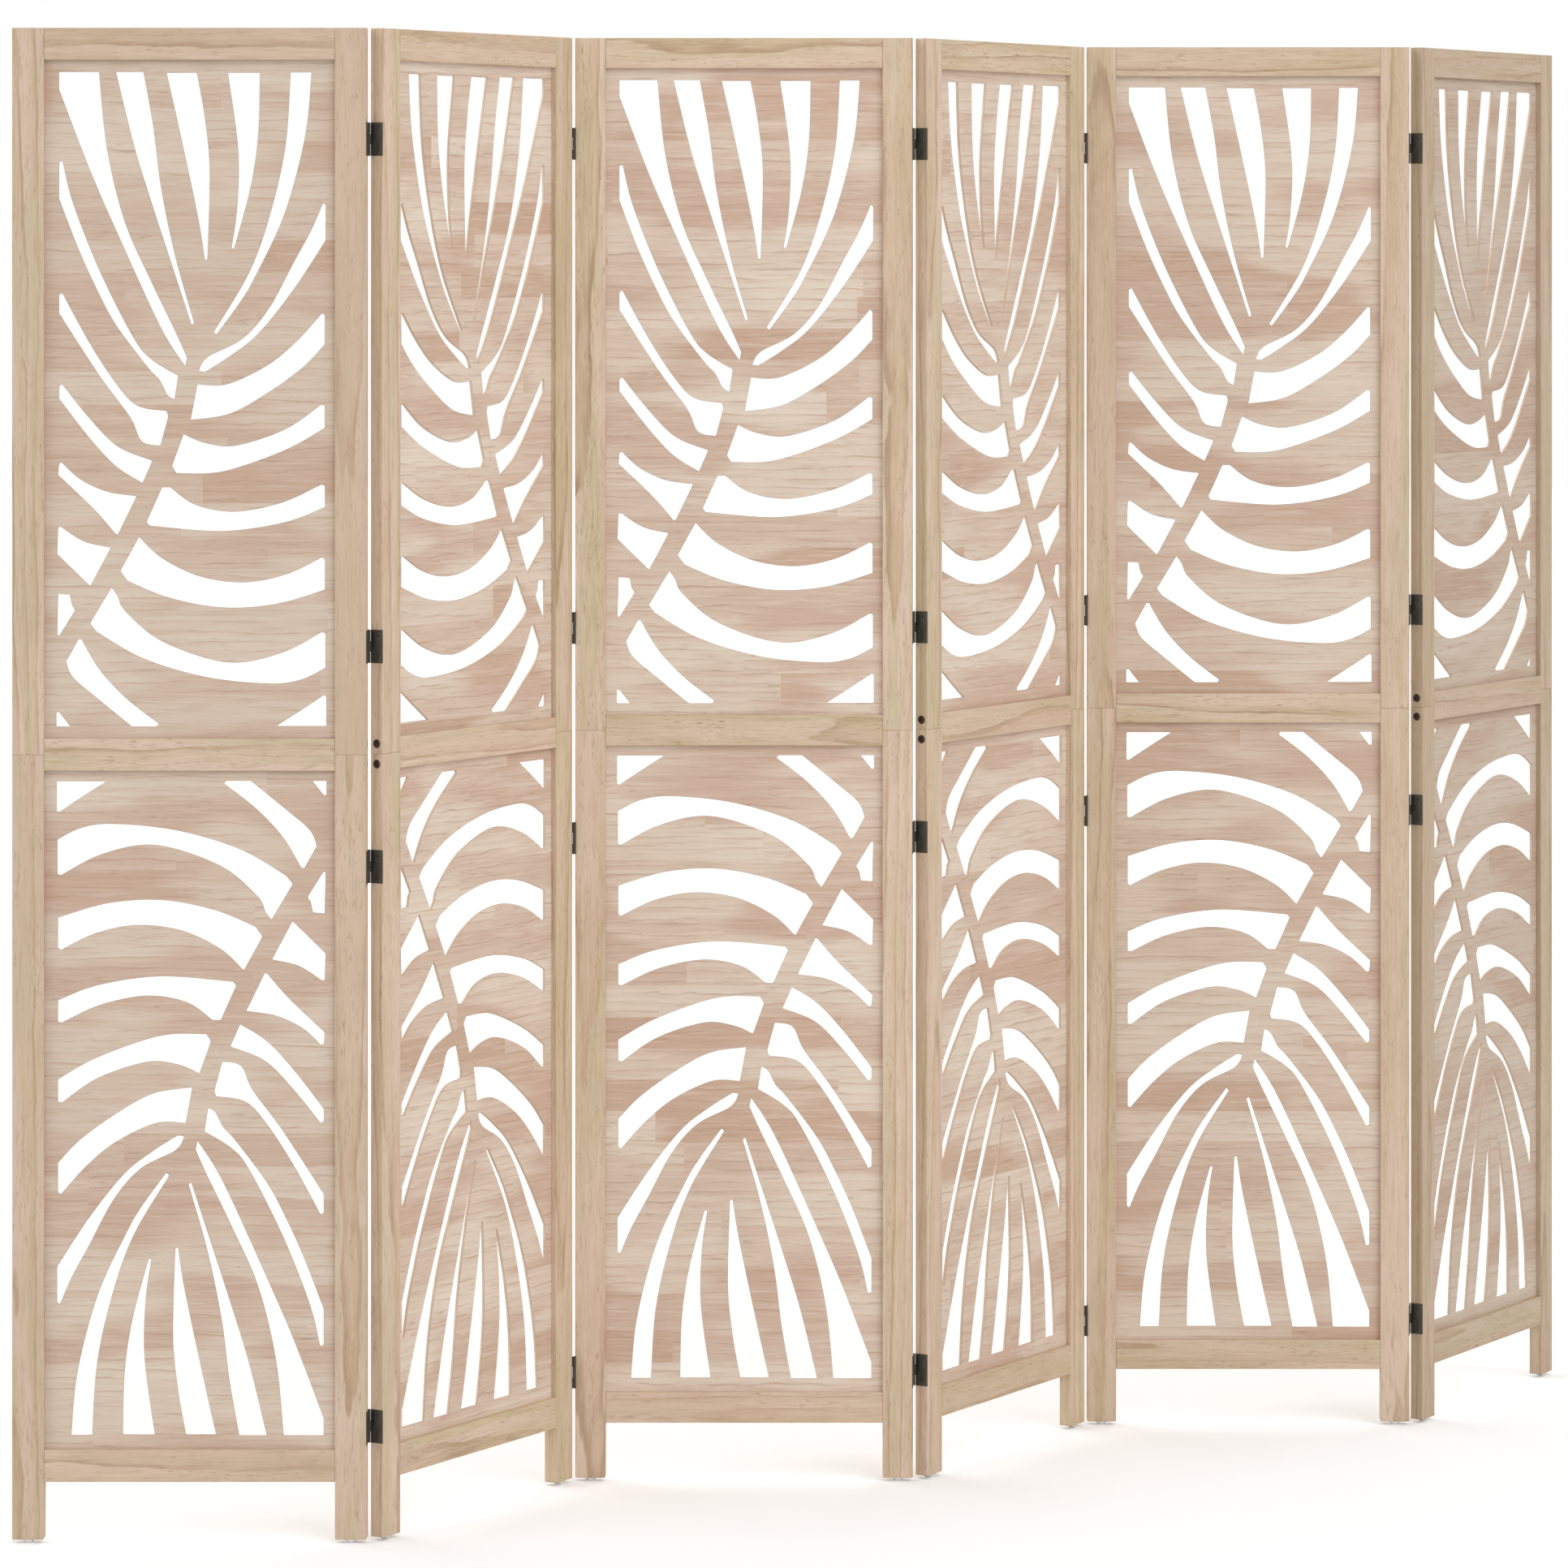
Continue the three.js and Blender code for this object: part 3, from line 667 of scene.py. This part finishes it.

# %% [markdown]
# ## The fronds' outlines
#
# Each cut-out is drawn on the opening, from its upper left corner, X to the right and Y
# down, in millimetres. An outline is a list of stretches: one point is a straight edge to it, and
# more points are a smooth curve through them. A Catmull-Rom curve suits this, because it goes
# through the points that were drawn and needs no handles.

# %% Cut-outs
DRAWN = (327, 763.5)
CUTOUTS = {
    # five between the leaflets at the tip of the frond, open to the top
    "tip_1": [[(16, 13.5)], [(61, 13.5)],
              [(70, 100), (90, 182), (121, 252), (148, 308), (160, 335)], [(158, 345)],
              [(130, 300), (84, 200), (50, 122), (16, 33)]],
    "tip_2": [[(80, 13.5)], [(111, 13.5)], [(122, 75), (131, 145), (147, 222), (168, 296)],
              [(165, 298)], [(150, 252), (120, 160), (100, 95), (80, 13.5)]],
    "tip_3": [[(137, 14.5)], [(171, 14.5)], [(180, 65), (185.5, 125), (183, 224)], [(180, 225)],
              [(172, 175), (150, 72), (137, 14.5)]],
    "tip_4": [[(206, 14.5)], [(242, 14.5)], [(240, 85), (231, 145), (213, 212)], [(210, 212)],
              [(216.5, 165), (217.5, 100), (206, 14.5)]],
    "tip_5": [[(276.5, 14)], [(300, 14)],
              [(293, 85), (270, 172), (237, 243), (220, 272), (193, 309)], [(190, 306)],
              [(230, 239), (254, 172), (271, 95), (276.5, 14)]],
    # down the left side, from the tip of the frond to its stalk
    "left_1": [[(16, 115)], [(20, 114)],
              [(32, 162), (62, 238), (100, 313), (120, 337), (150, 355.5)], [(146, 382)],
              [(138, 377), (129, 360), (116, 346), (80, 298), (58, 257), (38, 213), (16, 156)]],
    "left_2": [[(16, 264)], [(19.5, 262)], [(50, 318), (80, 364), (104, 389), (137, 395)],
              [(139, 401)], [(130, 434)], [(109, 429), (96, 402), (62, 356), (16, 285)]],
    "left_3": [[(16, 367)], [(19.5, 365)], [(50, 403), (82, 435), (121, 451)], [(110, 476)],
              [(80, 457), (50, 425), (16, 381)]],
    "left_4": [[(16, 454)], [(19, 453)], [(40, 472), (70, 486), (103, 491)], [(82, 534)],
              [(79.5, 533)], [(55, 505), (15, 467)]],
    "left_5": [[(15, 526)], [(18, 525.5)], [(44, 542), (74, 549)], [(51, 592)], [(14, 556)]],
    "left_6": [[(15, 601)], [(28, 602)], [(30.5, 614)], [(34, 619)], [(16, 648)], [(14, 647)]],
    "left_7": [[(13, 734)], [(16, 734)], [(28.5, 750)], [(13, 750)]],
    # beside the stalk, down to the bottom edge
    "stalk": [[(38, 652)], [(41, 652)], [(62, 687), (92, 719), (128, 747)], [(126, 750)],
              [(98, 750)], [(60, 719), (32, 695), (24, 677)]],
    # down the right side
    "right_1": [[(313, 161)], [(316, 163)], [(316, 203)],
              [(280, 258), (240, 308), (207, 334), (180, 351)], [(173, 350)],
              [(183, 334.5), (222, 314), (252, 280), (280, 228), (300, 191), (313, 161)]],
    "right_2": [[(312, 285)], [(315, 287)], [(315, 320)],
              [(290, 346), (250, 375), (208, 398), (164, 405)], [(171.5, 365)],
              [(205, 365), (250, 344), (283, 317), (312, 285)]],
    "right_3": [[(311, 388)], [(315, 389)], [(315, 414)], [(270, 439), (200, 463), (148, 465)],
              [(143, 457)], [(156, 421)], [(180, 431), (215, 434), (270, 416), (311, 388)]],
    "right_4": [[(311, 478)], [(315, 479)], [(315, 503)], [(270, 520), (200, 530), (118, 524)],
              [(114.5, 520)], [(132, 481)], [(141, 481)],
              [(170, 501), (215, 508.5), (268, 498), (311, 478)]],
    "right_5": [[(312, 560)], [(315, 562)], [(315, 596)],
              [(260, 612), (200, 616), (140, 605), (93, 586)], [(85, 575)], [(106, 537)],
              [(132, 561), (175, 581.5), (225, 588), (272, 579), (312, 560)]],
    "right_6": [[(312, 644)], [(315.5, 645)], [(315.5, 684)],
              [(287, 697.5), (250, 701.5), (180, 694), (110, 673), (58, 643)], [(51, 634)],
              [(75, 594)],
              [(81.5, 603), (91, 621), (133, 655), (205, 678), (265, 668), (312, 644)]],
    "right_7": [[(314, 715)], [(316.5, 716)], [(316.5, 749.5)], [(261, 749.5)],
              [(290, 731), (314, 715)]],
}
print("cut-outs in a board:", len(CUTOUTS))

# %% [markdown]
# ## From stretches to an outline
#
# A curve is followed in short steps. Where two stretches meet, the corner is rounded with the
# radius of a fine cutter. Without that, the fretwork would look stamped out of paper.

# %% Outlines
STEP, CORNER = 3.5, 1.3                # mm
CORNER_SHARE = 0.45                    # of the way to the next point, at most
SAME_POINT = 0.5                       # mm


def through(points):
    """Points along the Catmull-Rom curve through the given ones, without the first."""
    points = [Vector(p) for p in points]
    padded = [points[0], *points, points[-1]]
    made = []
    for before, start, end, after in zip(padded, padded[1:], padded[2:], padded[3:]):
        steps = max(2, round((end - start).length / STEP))
        leave, arrive = (end - before) / 2, (after - start) / 2
        for i in range(1, steps + 1):
            t = i / steps
            made.append((2 * t**3 - 3 * t**2 + 1) * start + (t**3 - 2 * t**2 + t) * leave
                        + (3 * t**2 - 2 * t**3) * end + (t**3 - t**2) * arrive)
    return made


def outline(stretches):
    """The whole closed outline, its corners rounded."""
    points, corners = [Vector(stretches[0][0])], [0]
    for stretch in stretches[1:]:
        points += through([points[-1], *stretch]) if len(stretch) > 1 else [Vector(stretch[0])]
        corners.append(len(points) - 1)
    if (points[-1] - points[0]).length < SAME_POINT:
        points.pop()
        corners.pop()
    made = []
    for i, point in enumerate(points):
        if i not in corners:
            made.append(point)
            continue
        before, after = points[i - 1] - point, points[(i + 1) % len(points)] - point
        back = min(CORNER, CORNER_SHARE * before.length) * before.normalized()
        on = min(CORNER, CORNER_SHARE * after.length) * after.normalized()
        for t in (0, 0.25, 0.5, 0.75, 1):
            made.append(point + (1 - t) ** 2 * back + t**2 * on)
    return made


outlines = {name: outline(stretches) for name, stretches in CUTOUTS.items()}
print("points in all outlines:", sum(len(points) for points in outlines.values()))

# %% [markdown]
# ## Boards
#
# A flat curve with holes is the neatest way to make fretwork. Blender fills a 2D curve between
# its outer line and the loops inside it, extrudes it to the board's thickness and breaks the
# edges with a tiny bevel. The lower board is the upper one turned half round, and every second
# leaf has its boards the other way out.

# %% Boards
TURNED_SHIFT = (2.8, 1.6)              # of the lower board's cut-outs on its opening
BROKEN_EDGE = 0.2
WALL, FLAT = 0.3, 0.95                 # below and above this a face is a wall or the flat side
SHARP = 30                             # degrees from which an edge looks sharp


def on_board(point, is_turned, mirrored):
    """A drawn point on its opening, from the opening's lower left corner."""
    across = (point[0] - (TURNED_SHIFT[0] if is_turned else 0)) / DRAWN[0]
    down = (point[1] + (TURNED_SHIFT[1] if is_turned else 0)) / DRAWN[1]
    return (OPENING_WIDTH * (1 - across if mirrored else across),
            OPENING_HEIGHT * (down if is_turned else 1 - down))


def flat_shape(name, loops, thickness, broken):
    """A mesh filled between loops of (x, y) in mm, that thick and with its edges broken."""
    curve = bpy.data.curves.new(name, "CURVE")
    curve.dimensions, curve.fill_mode = "2D", "BOTH"
    curve.extrude = (thickness / 2 - broken) * MM
    curve.bevel_depth, curve.bevel_resolution, curve.offset = broken * MM, 0, -broken * MM
    for loop in loops:
        spline = curve.splines.new("POLY")
        spline.points.add(len(loop) - 1)
        spline.points.foreach_set("co", [c for x, y in loop for c in (x * MM, y * MM, 0, 1)])
        spline.use_cyclic_u = True
    drawn = new_object(name, curve)
    graph = bpy.context.evaluated_depsgraph_get()
    mesh = bpy.data.meshes.new_from_object(drawn.evaluated_get(graph))
    bpy.data.objects.remove(drawn)
    return mesh


def make_board(leaf, place):
    is_turned = place == "lower"
    mirrored = is_turned != (leaf % 2 == 0)
    bottom = RAIL_Z["bottom" if is_turned else "middle"] + RAIL_HEIGHT
    low, wide, tall = -TONGUE, OPENING_WIDTH + TONGUE, OPENING_HEIGHT + TONGUE
    loops = [[(low, low), (wide, low), (wide, tall), (low, tall)]]
    for points in outlines.values():
        loops.append([on_board(point, is_turned, mirrored) for point in points])
    name = f"palm_board_{place}_{leaf}"
    mesh = flat_shape(name, loops, BOARD_THICKNESS, BROKEN_EDGE)
    mesh.transform(shift(STILE_WIDTH, MID_Y, bottom) @ turn(90, "X"))
    board = new_object(name, mesh)
    mesh.materials.clear()
    for material in (BOARD_WOOD, SAWN_EDGE, PAINTED_CORNER_SHADE):
        mesh.materials.append(material)
    for face in mesh.polygons:
        slope = abs(face.normal[1])
        # walls get the sawn edge, the broken corners the painted shade, and the flat sides the
        # board's wood
        face.material_index = 1 if slope < WALL else 2 if slope < FLAT else 0
        face.use_smooth = face.material_index > 0
    mesh.set_sharp_from_angle(angle=math.radians(SHARP))
    lay_grain(board, CROSSWISE, leaf)
    return set_in_leaf(board, leaf, f"panel_{leaf}_palm_board_{place}")


boards = [make_board(leaf, place)
          for leaf in range(1, LEAVES + 1) for place in ("upper", "lower")]
print("boards:", len(boards), " faces in one:", len(boards[0].data.polygons))

# %% [markdown]
# ## Hinges
#
# A butt hinge is two plates of thin steel. Each plate's edge is rolled round the pin into
# knuckles: here the pin's leaf has the outer two and the other leaf the middle one. The roll is a
# flat outline with a hole, extruded, and joined to its plate. Only four kinds are needed, for the
# left and right edge and for pins behind and in front, and all hinges of a kind share one mesh.

# %% Hinge leaves
PIN_RADIUS, RUNNING, AXIAL = 0.9, 0.08, 0.3   # the last two are gaps, round the pin and along it
ROLL_STEPS, ROLL_EASED, PLATE_EASED = 20, 0.1, 0.15
ROLL_ROOT = 0.5                        # the roll starts this deep in the plate
PLATE_INSET = 0.1                      # from the faces of the wood
KNUCKLE = (HINGE_HEIGHT - 2 * AXIAL) / 3


def smoothed(piece, sharp=SHARP):
    """Smooth shading, except over edges sharper than that many degrees."""
    for polygon in piece.data.polygons:
        polygon.use_smooth = True
    piece.data.set_sharp_from_angle(angle=math.radians(sharp))
    return piece


def roll(edge, face, low, high):
    """A knuckle: from the plate, round the pin, and back to the plate."""
    edge_x, out = edge_of(edge)
    face_y, away = (THICKNESS, 1) if face == "back" else (0, -1)
    x, y = edge_x + out * PIN_X, PIN_Y[face]
    points = [(edge_x + out * side, face_y - away * ROLL_ROOT) for side in (PROUD - PLATE, PROUD)]
    for i in range(ROLL_STEPS + 1):
        angle = math.radians(-90 + 270 * i / ROLL_STEPS)
        points.append((x + out * KNUCKLE_RADIUS * math.cos(angle),
                       y + away * KNUCKLE_RADIUS * math.sin(angle)))
    bore = PIN_RADIUS + RUNNING
    circle = [(x + bore * math.cos(a), y + bore * math.sin(a))
              for a in (math.tau * i / ROLL_STEPS for i in range(ROLL_STEPS))]
    mesh = flat_shape("knuckle", [points, circle], high - low, ROLL_EASED)
    mesh.transform(shift(0, 0, (low + high) / 2))
    return new_object("knuckle", mesh)


def hinge_leaf_mesh(edge, face):
    """A hinge leaf round its own middle height. The one on a right edge carries the pin."""
    edge_x, out = edge_of(edge)
    half = HINGE_HEIGHT / 2
    spans = [(-KNUCKLE / 2, KNUCKLE / 2)]
    if edge == "right":
        spans = [(-half, -half + KNUCKLE), (half - KNUCKLE, half)]
    x = sorted((edge_x + out * PROUD, edge_x + out * (PROUD - PLATE)))
    limits = [x, (PLATE_INSET, THICKNESS - PLATE_INSET), (-half, half)]
    leaf = block(f"hinge_leaf_{edge}_{face}", limits, lambda axis, side: PLATE_EASED)
    cut(leaf, [roll(edge, face, low, high) for low, high in spans], "UNION")
    smoothed(leaf)
    leaf.data.materials.clear()
    leaf.data.materials.append(HINGE_STEEL)
    mesh = leaf.data
    bpy.data.objects.remove(leaf)
    return mesh


hinge_meshes = {(edge, face): hinge_leaf_mesh(edge, face)
                for edge in ("left", "right") for face in ("front", "back")}
print("faces in each kind:", {key: len(mesh.polygons) for key, mesh in hinge_meshes.items()})

# %% [markdown]
# ## Pins, screws, bolts and glides: turned pieces
#
# All of these come off a lathe, so one helper spins a profile round an axis. The screw heads then
# get a cross and the bolt heads a hexagon, cut in with a Boolean.

# %% Turned pieces
TURNED_SHARP = 35


def turned(name, profile, steps, material):
    """Spins a profile of (radius, height) in mm round Z."""
    bm = bmesh.new()
    verts = [bm.verts.new((radius * MM, 0, height * MM)) for radius, height in profile]
    edges = [bm.edges.new(pair) for pair in zip(verts, verts[1:])]
    bmesh.ops.spin(bm, geom=verts + edges, axis=(0, 0, 1), cent=(0, 0, 0),
                   angle=math.tau, steps=steps)
    bmesh.ops.remove_doubles(bm, verts=bm.verts, dist=0.01 * MM)
    bmesh.ops.recalc_face_normals(bm, faces=bm.faces)
    piece = object_from(bm, name)
    piece.data.materials.append(material)
    return smoothed(piece, TURNED_SHARP)


pin_end = HINGE_HEIGHT / 2
half_pin = [(PIN_RADIUS, pin_end - 0.05), (0.5, pin_end + 0.22), (0, pin_end + 0.25)]
other_half = [(radius, -height) for radius, height in reversed(half_pin)]
pin = turned("pin", other_half + half_pin, 20, HINGE_STEEL)

screw = turned("screw", [(0, -1), (1.2, -1), (2.0, -0.1), (1.9, 0.02), (1.0, 0.13), (0, 0.16)],
               28, HINGE_STEEL)
arm, slot, depth = (-1.2, 1.2), (-0.22, 0.22), (-0.5, 1)
smoothed(cut(screw, [block("cross", [arm, slot, depth]), block("cross", [slot, arm, depth])]),
         TURNED_SHARP)

SOCKET_RADIUS, SOCKET_DEPTH = 2.3, 0.9
bolt = turned("bolt", [(0, -1.15), (4.6, -1.15), (4.8, -1.0), (4.8, -0.35), (4.5, -0.1),
                       (3.4, 0), (0, 0)], 48, BOLT_STEEL)
socket = prism("socket", 6, SOCKET_RADIUS, SOCKET_DEPTH + 1, shift(0, 0, (1 - SOCKET_DEPTH) / 2))
smoothed(cut(bolt, [socket]), TURNED_SHARP)

GLIDE_RADIUS, GLIDE_FLAT, HOLE_RADIUS = 7.2, 4.4, 2.3
under = -GLIDE_HEIGHT
glide = turned("glide", [(0, 0), (GLIDE_RADIUS, 0), (GLIDE_RADIUS, -0.5),
                         (GLIDE_FLAT + 0.5, under + 0.3), (GLIDE_FLAT - 0.1, under),
                         (HOLE_RADIUS + 0.3, under), (HOLE_RADIUS, under + 1), (0, under + 1)],
               40, MILKY_PLASTIC)
nail = turned("nail", [(0, under + 1.05), (2.0, under + 0.9), (2.1, under + 0.7),
                       (1.2, under + 0.35), (0, under + 0.3)], 24, BOLT_STEEL)
patterns = {}
for piece in (pin, screw, bolt, glide, nail):
    patterns[piece.name] = piece.data
    bpy.data.objects.remove(piece)
print("turned pieces:", {name: len(mesh.polygons) for name, mesh in patterns.items()})

# %% [markdown]
# ## Fitting the metal and plastic
#
# Every turned piece has one mesh that all its copies share. A screw lies on its side, with its
# head flush in the plate, and a hinge leaf has three, a little out of line so that they don't
# split the wood.

# %% Hinges on the leaves
SCREW_HEIGHTS, SCREW_OFF_MIDDLE = (-12.5, 0, 12.5), 2.2
SCREW_SUNK, BOLT_HEAD_SUNK = 0.02, 0.25
SCREW_SPIN = 1.1                       # radians from one screw's cross to the next one's


def facing(edge):
    """Turns a piece made along +Z so that it looks out of a leaf's edge."""
    return turn(90 if edge == "right" else -90, "Y")


def fit_copy(name, mesh, leaf, place, stands_for=None):
    set_in_leaf(new_object(name, mesh), leaf, stands_for, place)


def fit_hinge(joint, number, height):
    face = pin_face(joint)
    name = f"hinge_{joint}_{number}"
    top = number == len(HINGE_Z)
    for leaf, edge in ((joint, "right"), (joint + 1, "left")):
        edge_x, out = edge_of(edge)
        stands_for = f"hinge_{joint}_top_pin_leaf" if top and edge == "right" else None
        fit_copy(f"{name}_leaf_{edge}", hinge_meshes[edge, face], leaf,
                 shift(0, 0, height), stands_for)
        for i, up in enumerate(SCREW_HEIGHTS):
            y = MID_Y + (SCREW_OFF_MIDDLE if i % 2 else -SCREW_OFF_MIDDLE)
            at = shift(edge_x + out * (PROUD - SCREW_SUNK), y, height + up) @ facing(edge)
            spin = Matrix.Rotation(SCREW_SPIN * (joint + number + 2 * i), 4, "Z")
            fit_copy(f"{name}_screw_{edge}_{i + 1}", patterns["screw"], leaf,
                     at @ spin)
    fit_copy(f"{name}_pin", patterns["pin"], joint,
             shift(LEAF_WIDTH + PIN_X, PIN_Y[face], height))


for joint in range(1, LEAVES):
    for number, height in enumerate(HINGE_Z, 1):
        fit_hinge(joint, number, height)
print("hinges:", (LEAVES - 1) * len(HINGE_Z))

# %% [markdown]
# The bolts hold the middle rail. Their heads lie in the recesses at the seam, a little below the
# wood. A glide sits in the middle of every foot, with its nail in the glide's hole. They are
# copies of one mesh too, because on the real screen they are all alike.

# %% Bolts and glides
for leaf in range(1, LEAVES + 1):
    for edge in ("left", "right"):
        edge_x, out = edge_of(edge)
        for half, z in BOLT_Z.items():
            at = shift(edge_x - out * BOLT_HEAD_SUNK, MID_Y, z) @ facing(edge)
            fit_copy(f"bolt_{edge}_{half}_{leaf}", patterns["bolt"], leaf, at)
        foot = shift(edge_x - out * STILE_WIDTH / 2, MID_Y, 0)
        fit_copy(f"glide_{edge}_{leaf}", patterns["glide"], leaf, foot)
        fit_copy(f"glide_nail_{edge}_{leaf}", patterns["nail"], leaf, foot)

# %% [markdown]
# ## Floor
#
# The screen stands on a plain white floor in a white room. A white floor under soft light would
# come out pale grey, so it glows a little, but for the camera only: the light that it throws back
# on the screen stays as it is. The ground is white then, and keeps a faint shadow.

# %% Floor
FLOOR_WHITE, SEEN_WHITE, GLOW = 0.8, 0.9, 0.12
FLOOR_HALF_SIDE = 30                   # metres
FLOOR_DROP = 0.3                       # mm, so that it doesn't share a face with the glides


def white(level):
    return (level, level, level, 1)


floor_shader = Shader("white_floor")
camera_ray = floor_shader.add("LightPath").outputs["Is Camera Ray"]
plain = floor_shader.add("BsdfDiffuse", {"Color": white(FLOOR_WHITE)}).outputs[0]
pale = floor_shader.add("BsdfDiffuse", {"Color": white(SEEN_WHITE)}).outputs[0]
glow = floor_shader.add("Emission", {"Color": white(1), "Strength": GLOW}).outputs[0]
seen = floor_shader.add("AddShader", {0: pale, 1: glow}).outputs[0]
shown = floor_shader.add("MixShader", {0: camera_ray, 1: plain, 2: seen}).outputs[0]
floor_shader.put(floor_shader.tree.nodes["Material Output"].inputs["Surface"], shown)

bm = bmesh.new()
bmesh.ops.create_grid(bm, x_segments=1, y_segments=1, size=FLOOR_HALF_SIDE)
floor = object_from(bm, "floor")
floor.data.materials.append(floor_shader.material)
floor.location.z = -FLOOR_DROP * MM
print("floor side, m:", round(floor.dimensions.x))

# %% [markdown]
# ## Light
#
# About half of the light comes from all round, as in a light tent. The room is full white where it
# is looked at or mirrored, and dimmer as a source of light. Five very wide, soft lamps far away
# add to it: a key from the front right, a fill from the left, a trace from the front, and two
# behind, so that the back is as light as the front. Being far away, they light the head and the
# foot of the screen alike.

# %% Lights
ROOM_LIGHT = 0.53                      # of full white
LAMP_WIDTH = 50                        # degrees of the sky that a lamp fills

world = bpy.data.worlds.new("white_room")
bpy.context.scene.world = world
world.use_nodes = True
sky = world.node_tree
paths = sky.nodes.new("ShaderNodeLightPath").outputs
looked_at = paths["Is Camera Ray"]
for kind in ("Is Glossy Ray", "Is Transmission Ray"):
    either = sky.nodes.new("ShaderNodeMath")
    either.operation = "MAXIMUM"
    sky.links.new(looked_at, either.inputs[0])
    sky.links.new(paths[kind], either.inputs[1])
    looked_at = either.outputs[0]
level = sky.nodes.new("ShaderNodeMapRange")
level.inputs["To Min"].default_value = ROOM_LIGHT
level.inputs["To Max"].default_value = 1.0
sky.links.new(looked_at, level.inputs["Value"])
background = sky.nodes["Background"]
background.inputs["Color"].default_value = white(1)
sky.links.new(level.outputs[0], background.inputs["Strength"])


def soft_lamp(name, azimuth, elevation, strength):
    """A far lamp. Azimuth 0 is straight ahead of the screen, and it turns towards +X."""
    data = bpy.data.lights.new(name, "SUN")
    data.angle, data.energy = math.radians(LAMP_WIDTH), strength
    lamp = new_object(name, data)
    side, up = math.radians(azimuth), math.radians(elevation)
    towards = Vector((math.sin(side) * math.cos(up), -math.cos(side) * math.cos(up), math.sin(up)))
    lamp.rotation_euler = (-towards).to_track_quat("-Z", "Y").to_euler()


soft_lamp("key", 40, 35, 1.2)
soft_lamp("front", 5, 30, 0.1)
soft_lamp("left", -70, 25, 0.95)
soft_lamp("back left", -125, 30, 0.9)
soft_lamp("back right", 150, 32, 0.85)
bpy.context.scene.view_settings.view_transform = "Standard"
